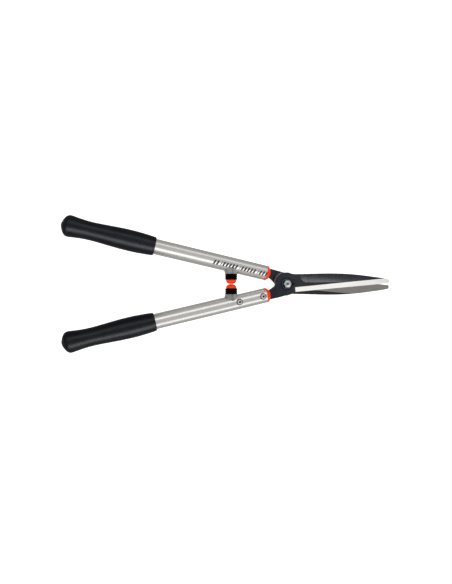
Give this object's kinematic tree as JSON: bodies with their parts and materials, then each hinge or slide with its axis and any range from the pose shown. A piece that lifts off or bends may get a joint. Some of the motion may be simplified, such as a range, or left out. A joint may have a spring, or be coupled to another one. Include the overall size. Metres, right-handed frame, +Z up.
{
  "type": "hedge shears",
  "caption": "Two-handed hedge shears: straight forged blades crossing on one hex pivot bolt, round aluminium tube handles with moulded grips, and sprung bumpers that meet when closed.",
  "frame": {"origin": "under the middle of the closed tool's box, on the surface it lies on", "axes": "+X along the centre line to the blade tips, +Y to the left handle, +Z up through the pivot bolt's head"},
  "size_m": [0.6814, 0.2534, 0.0412],
  "materials": {
    "blade_steel": "blue-black forged finish, ground bright along the cutting edge",
    "zinc_steel": "bright zinc plate",
    "dark_steel": "black oxide",
    "bronze": "plain bearing bronze",
    "nylon": "blue nylon",
    "tube_aluminium": "satin anodised",
    "orange_plastic": "satin moulded",
    "orange_rubber": "satin moulded",
    "grip_black": "soft satin moulded",
    "grey_plastic": "satin moulded",
    "black_rubber": "moulded"
  },
  "bodies": {
    "right_half": {"upper_blade": "blade_steel", "right_tube": "tube_aluminium", "right_end_seal": "orange_plastic", "right_tang_screw_front": "zinc_steel", "right_tang_screw_back": "zinc_steel", "right_grip": "grip_black", "right_bumper_saddle": "grey_plastic", "right_bumper_ring": "black_rubber", "right_bumper_screw": "zinc_steel", "pivot_bolt": "zinc_steel", "tab_washer": "dark_steel", "flat_washer": "zinc_steel", "spring_washer": "dark_steel", "lock_nut": "zinc_steel", "nut_insert": "nylon"},
    "left_half": {"lower_blade": "blade_steel", "left_tube": "tube_aluminium", "left_end_seal": "orange_plastic", "left_tang_screw_front": "zinc_steel", "left_tang_screw_back": "zinc_steel", "left_grip": "grip_black", "left_bumper_saddle": "grey_plastic", "left_bumper_ring": "black_rubber", "left_bumper_screw": "zinc_steel", "pivot_bush": "bronze"},
    "right_dome": {"right_bumper_dome": "orange_rubber"},
    "left_dome": {"left_bumper_dome": "orange_rubber"}
  },
  "joints": [
    {"name": "blade_pivot", "type": "hinge", "parent": "right_half", "child": "left_half", "pos_m": [0.0968, 0, 0.0206], "axis": [0, 0, -1], "range_deg": [0, 60]},
    {"name": "right_bumper_slide", "type": "slide", "parent": "right_half", "child": "right_dome", "axis": [0, -1, 0], "range_m": [0, 0.003], "stiffness_N_per_m": 6000, "deforming": ["right_bumper_ring"]},
    {"name": "left_bumper_slide", "type": "slide", "parent": "left_half", "child": "left_dome", "axis": [0, 1, 0], "range_m": [0, 0.003], "stiffness_N_per_m": 6000, "deforming": ["left_bumper_ring"]}
  ]
}
